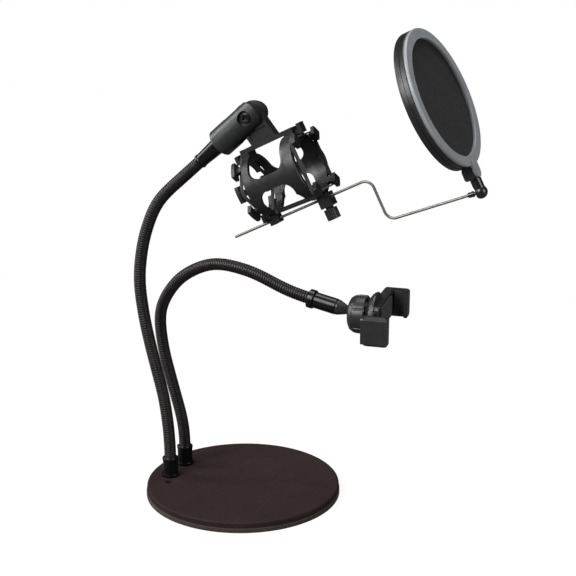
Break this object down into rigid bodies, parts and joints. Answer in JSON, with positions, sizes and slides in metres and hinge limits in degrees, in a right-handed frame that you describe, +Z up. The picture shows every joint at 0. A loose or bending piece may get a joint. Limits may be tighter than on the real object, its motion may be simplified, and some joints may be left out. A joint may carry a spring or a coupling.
{
  "type": "desktop pop filter stand",
  "caption": "Desktop stand with a round base, two goosenecks, a cage shock mount with a pop filter on a bent wire arm, and a ball-jointed phone clamp.",
  "frame": {"origin": "centre of the base underside", "axes": "+Z up; +X the way both arms reach, towards the speaker; Y across, the microphone gooseneck on the -Y side"},
  "size_m": [0.274, 0.152, 0.365],
  "materials": {
    "base_coat": "textured powder coat",
    "base_pad": "matt foam rubber",
    "steel": "zinc plated",
    "collar_black": "gloss black plate",
    "gooseneck": "black plated spring wire",
    "clip_plastic": "satin moulded",
    "brass": "turned",
    "screw_black": "black oxide",
    "cage_plastic": "satin moulded",
    "elastic": "ribbed elastic",
    "wire_chrome": "nickel plated wire",
    "ball_black": "polished",
    "rim_black": "satin moulded",
    "bezel_grey": "satin moulded",
    "mesh_fabric": "fine woven nylon",
    "clamp_plastic": "satin moulded",
    "grip_rubber": "matt"
  },
  "bodies": {
    "root": {"base_plate": "base_coat", "base_pad": "base_pad", "neck_screws": "steel", "neck1_collar": "collar_black", "neck2_collar": "collar_black", "neck1_section_1": "gooseneck", "neck2_section_1": "gooseneck"},
    "neck1_link_2": {"neck1_section_2": "gooseneck"},
    "neck1_link_3": {"neck1_section_3": "gooseneck"},
    "neck1_link_4": {"neck1_section_4": "gooseneck"},
    "neck1_link_5": {"neck1_section_5": "gooseneck"},
    "neck1_link_6": {"neck1_section_6": "gooseneck"},
    "neck1_link_7": {"neck1_section_7": "gooseneck"},
    "neck1_link_8": {"neck1_section_8": "gooseneck", "neck1_sleeve": "collar_black"},
    "neck2_link_2": {"neck2_section_2": "gooseneck"},
    "neck2_link_3": {"neck2_section_3": "gooseneck"},
    "neck2_link_4": {"neck2_section_4": "gooseneck"},
    "neck2_link_5": {"neck2_section_5": "gooseneck"},
    "neck2_link_6": {"neck2_section_6": "gooseneck"},
    "neck2_link_7": {"neck2_section_7": "gooseneck"},
    "neck2_link_8": {"neck2_section_8": "gooseneck", "neck2_end_ring": "collar_black", "neck2_end_sleeve": "collar_black"},
    "clip": {"clip_barrel": "clip_plastic", "thread_insert": "brass", "pivot_screw": "screw_black", "pivot_nut": "steel"},
    "cage": {"shock_cage": "cage_plastic", "rear_band": "elastic", "front_band": "elastic", "clamp_insert": "brass"},
    "thumb": {"thumb_screw": "cage_plastic"},
    "bush": {"grip_bush": "brass"},
    "wire": {"wire_arm": "wire_chrome", "wire_ferrule": "ball_black"},
    "filter_ball": {"ball_tip": "ball_black"},
    "stem": {"filter_stem": "ball_black"},
    "filter": {"rim_rear": "rim_black", "front_bezel": "bezel_grey", "spacer_ring": "rim_black", "rear_mesh": "mesh_fabric", "front_mesh": "mesh_fabric"},
    "stud": {"ball_stud": "clamp_plastic"},
    "clamp": {"ball_socket": "clamp_plastic", "clamp_housing": "clamp_plastic", "clamp_cover": "clamp_plastic", "cover_screws": "steel", "fixed_jaw_pad": "grip_rubber", "back_pad": "grip_rubber", "clamp_spring": "steel"},
    "nut": {"lock_nut": "clamp_plastic"},
    "jaw": {"sliding_jaw": "clamp_plastic", "sliding_jaw_pad": "grip_rubber", "guide_rods": "steel", "rod_bridge": "steel"}
  },
  "joints": [
    {"name": "neck1_bend", "type": "hinge", "parent": "root", "child": "neck1_link_2", "pos_m": [-0.05934, -0.0128, 0.05642], "axis": [0, 1, 0], "range_deg": [-8, 3]},
    {"name": "neck1_bend_j2", "type": "hinge", "parent": "neck1_link_2", "child": "neck1_link_3", "pos_m": [-0.06539, -0.0128, 0.0883], "axis": [0, 1, 0], "range_deg": [-8, 3]},
    {"name": "neck1_sway", "type": "hinge", "parent": "neck1_link_3", "child": "neck1_link_4", "pos_m": [-0.07326, -0.0128, 0.11983], "axis": [0.9744, 0, 0.225], "range_deg": [-8, 8]},
    {"name": "neck1_bend_j4", "type": "hinge", "parent": "neck1_link_4", "child": "neck1_link_5", "pos_m": [-0.0789, -0.0128, 0.15182], "axis": [0, 1, 0], "range_deg": [-8, 3]},
    {"name": "neck1_bend_j5", "type": "hinge", "parent": "neck1_link_5", "child": "neck1_link_6", "pos_m": [-0.07833, -0.0128, 0.18414], "axis": [0, 1, 0], "range_deg": [-8, 3]},
    {"name": "neck1_sway_j6", "type": "hinge", "parent": "neck1_link_6", "child": "neck1_link_7", "pos_m": [-0.06968, -0.0128, 0.21535], "axis": [0.9272, 0, -0.3746], "range_deg": [-8, 8]},
    {"name": "neck1_bend_j7", "type": "hinge", "parent": "neck1_link_7", "child": "neck1_link_8", "pos_m": [-0.05108, -0.0128, 0.24142], "axis": [0, 1, 0], "range_deg": [-8, 3]},
    {"name": "neck2_bend", "type": "hinge", "parent": "root", "child": "neck2_link_2", "pos_m": [-0.06191, 0.0128, 0.05644], "axis": [0, 1, 0], "range_deg": [-3, 6]},
    {"name": "neck2_bend_j2", "type": "hinge", "parent": "neck2_link_2", "child": "neck2_link_3", "pos_m": [-0.07057, 0.0128, 0.08818], "axis": [0, 1, 0], "range_deg": [-3, 6]},
    {"name": "neck2_sway", "type": "hinge", "parent": "neck2_link_3", "child": "neck2_link_4", "pos_m": [-0.07641, 0.0128, 0.1205], "axis": [0.9954, 0, 0.0958], "range_deg": [-8, 8]},
    {"name": "neck2_bend_j4", "type": "hinge", "parent": "neck2_link_4", "child": "neck2_link_5", "pos_m": [-0.06857, 0.0128, 0.15138], "axis": [0, 1, 0], "range_deg": [-3, 6]},
    {"name": "neck2_bend_j5", "type": "hinge", "parent": "neck2_link_5", "child": "neck2_link_6", "pos_m": [-0.04443, 0.0128, 0.17292], "axis": [0, 1, 0], "range_deg": [-3, 6]},
    {"name": "neck2_sway_j6", "type": "hinge", "parent": "neck2_link_6", "child": "neck2_link_7", "pos_m": [-0.01283, 0.0128, 0.17849], "axis": [-0.1305, 0, -0.9914], "range_deg": [-8, 8]},
    {"name": "neck2_bend_j7", "type": "hinge", "parent": "neck2_link_7", "child": "neck2_link_8", "pos_m": [0.01875, 0.0128, 0.16988], "axis": [0, 1, 0], "range_deg": [-3, 6]},
    {"name": "clip_turn", "type": "hinge", "parent": "neck1_link_8", "child": "clip", "pos_m": [-0.00718, -0.0128, 0.28007], "axis": [0.749, 0, 0.6626], "range_deg": [-90, 90]},
    {"name": "cage_tilt", "type": "hinge", "parent": "clip", "child": "cage", "pos_m": [0.01379, -0.0128, 0.29863], "axis": [0, 1, 0], "range_deg": [-75, 5]},
    {"name": "thumb_turn", "type": "hinge", "parent": "cage", "child": "thumb", "pos_m": [0.07241, -0.0128, 0.24404], "axis": [0.4462, 0, -0.8949], "continuous": true},
    {"name": "wire_roll", "type": "hinge", "parent": "cage", "child": "bush", "pos_m": [0.07241, -0.0128, 0.24404], "axis": [0.8949, 0, 0.4462], "range_deg": [-100, 100]},
    {"name": "wire_slide", "type": "slide", "parent": "bush", "child": "wire", "axis": [0.8949, 0, 0.4462], "range_m": [-0.025, 0.03]},
    {"name": "filter_roll", "type": "hinge", "parent": "wire", "child": "filter_ball", "pos_m": [0.1849, -0.0128, 0.25765], "axis": [0.9304, 0, 0.3665], "range_deg": [-40, 40]},
    {"name": "filter_tilt", "type": "hinge", "parent": "filter_ball", "child": "stem", "pos_m": [0.1849, -0.0128, 0.25765], "axis": [0, 1, 0], "range_deg": [-24, 24]},
    {"name": "filter_swivel", "type": "hinge", "parent": "stem", "child": "filter", "pos_m": [0.18053, -0.0128, 0.26665], "axis": [-0.4368, 0, 0.8996], "range_deg": [-90, 90]},
    {"name": "stud_turn", "type": "hinge", "parent": "neck2_link_8", "child": "stud", "pos_m": [0.06975, 0.0128, 0.15648], "axis": [0.9816, 0, -0.1908], "continuous": true},
    {"name": "clamp_tilt", "type": "hinge", "parent": "stud", "child": "clamp", "pos_m": [0.09037, 0.0128, 0.15247], "axis": [-0.1045, 0.9945, 0], "range_deg": [-12, 34]},
    {"name": "lock_nut_turn", "type": "hinge", "parent": "clamp", "child": "nut", "pos_m": [0.09037, 0.0128, 0.15247], "axis": [0.9945, 0.1045, 0], "range_deg": [-180, 30]},
    {"name": "jaw_slide", "type": "slide", "parent": "clamp", "child": "jaw", "axis": [-0.1045, 0.9945, 0], "range_m": [-0.013, 0.014], "deforming": ["clamp_spring"]}
  ],
  "couplings": [
    {"joint": "neck1_bend_j2", "follows": "neck1_bend", "ratio": 1},
    {"joint": "neck1_bend_j4", "follows": "neck1_bend", "ratio": 1},
    {"joint": "neck1_bend_j5", "follows": "neck1_bend", "ratio": 1},
    {"joint": "neck1_sway_j6", "follows": "neck1_sway", "ratio": 1},
    {"joint": "neck1_bend_j7", "follows": "neck1_bend", "ratio": 1},
    {"joint": "neck2_bend_j2", "follows": "neck2_bend", "ratio": 1},
    {"joint": "neck2_bend_j4", "follows": "neck2_bend", "ratio": 1},
    {"joint": "neck2_bend_j5", "follows": "neck2_bend", "ratio": 1},
    {"joint": "neck2_sway_j6", "follows": "neck2_sway", "ratio": 1},
    {"joint": "neck2_bend_j7", "follows": "neck2_bend", "ratio": 1}
  ]
}
